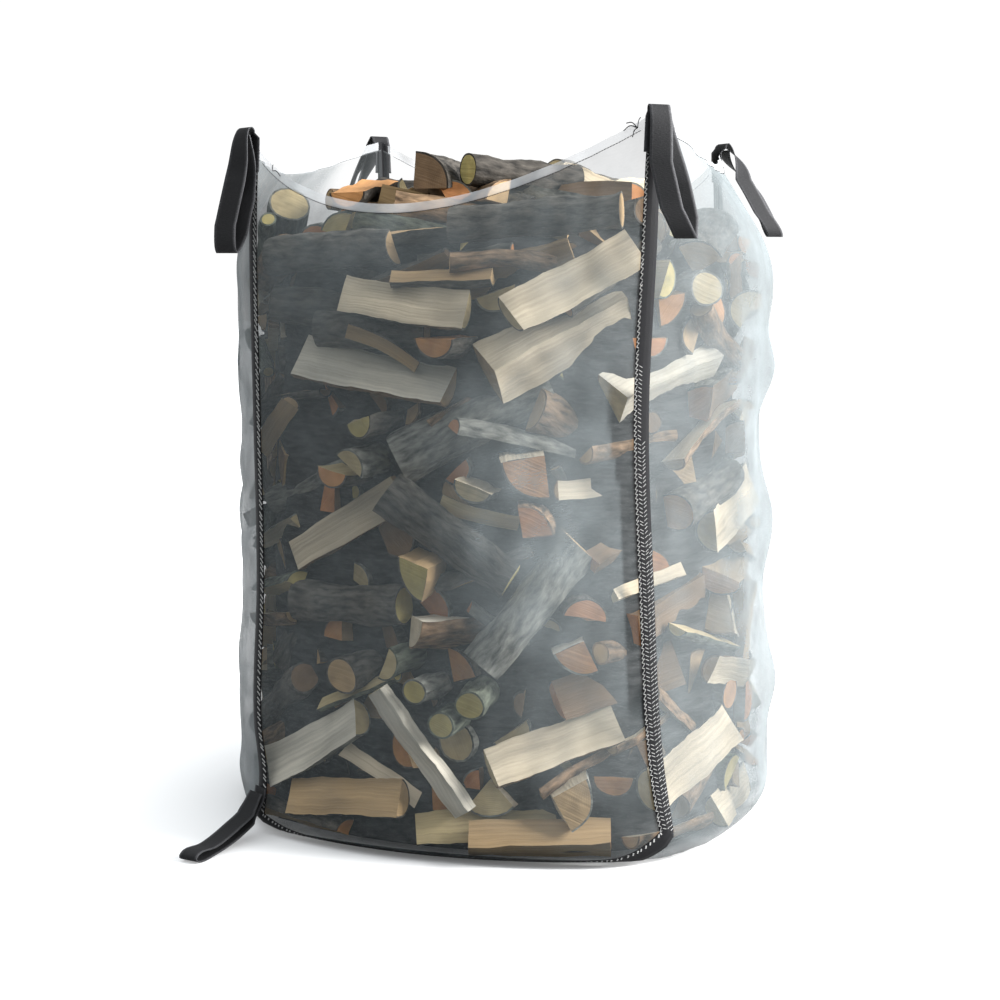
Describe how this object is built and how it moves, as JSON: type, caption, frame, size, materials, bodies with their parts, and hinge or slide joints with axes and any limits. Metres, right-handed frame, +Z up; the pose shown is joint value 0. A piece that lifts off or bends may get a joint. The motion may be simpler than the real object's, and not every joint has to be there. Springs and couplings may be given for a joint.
{
  "type": "firewood bulk bag",
  "caption": "Tall see-through net bulk bag with black seam tapes, webbing lifting loops at its corner peaks and a tip loop at one foot, filled with loosely piled split logs.",
  "frame": {"origin": "on the floor, under the middle of the flat base", "axes": "+X to the bag's right along the front panel, -Y out of the front panel, +Z up along the tall side"},
  "size_m": [1.3496, 1.3522, 1.6771],
  "materials": {
    "net_cloth": "fine see-through woven net",
    "seam_tape": "black folded tape with pale chain stitches",
    "webbing": "black flat woven webbing",
    "bark": "rough grey bark",
    "split_wood": "pale split wood",
    "stacked_wood": "piled split logs, bark and wood mixed"
  },
  "bodies": {
    "root": {"back_panel": "net_cloth", "back_seam_tape": "seam_tape", "front_panel": "net_cloth", "front_seam_tape": "seam_tape", "lifting_loop_back_left": "webbing", "lifting_loop_back_right": "webbing", "lifting_loop_front_left": "webbing", "lifting_loop_front_right": "webbing", "log_front_01": "split_wood", "log_front_02": "bark", "log_front_03": "bark", "log_front_04": "bark", "log_front_05": "split_wood", "log_front_06": "bark", "log_front_07": "bark", "log_front_08": "bark", "log_front_09": "split_wood", "log_front_10": "bark", "log_front_11": "bark", "log_front_12": "bark", "log_front_13": "bark", "log_front_14": "bark", "log_front_15": "split_wood", "log_front_16": "bark", "log_front_17": "split_wood", "log_front_18": "bark", "log_front_19": "bark", "log_front_20": "bark", "log_front_21": "split_wood", "log_front_22": "split_wood", "log_front_23": "bark", "log_front_24": "split_wood", "log_front_25": "bark", "log_front_26": "split_wood", "log_front_27": "bark", "log_front_28": "bark", "log_front_29": "bark", "log_front_30": "split_wood", "log_front_31": "bark", "log_front_32": "bark", "log_front_33": "bark", "log_heap": "stacked_wood", "log_right_01": "split_wood", "log_right_02": "bark", "log_right_03": "bark", "log_right_04": "split_wood", "log_right_05": "bark", "log_right_06": "bark", "log_top_01": "bark", "log_top_02": "split_wood", "log_top_03": "bark", "log_top_04": "bark", "log_top_05": "bark", "log_top_06": "split_wood", "log_top_07": "bark", "side_base_panel": "net_cloth", "tip_loop_front_left": "webbing"}
  },
  "joints": []
}
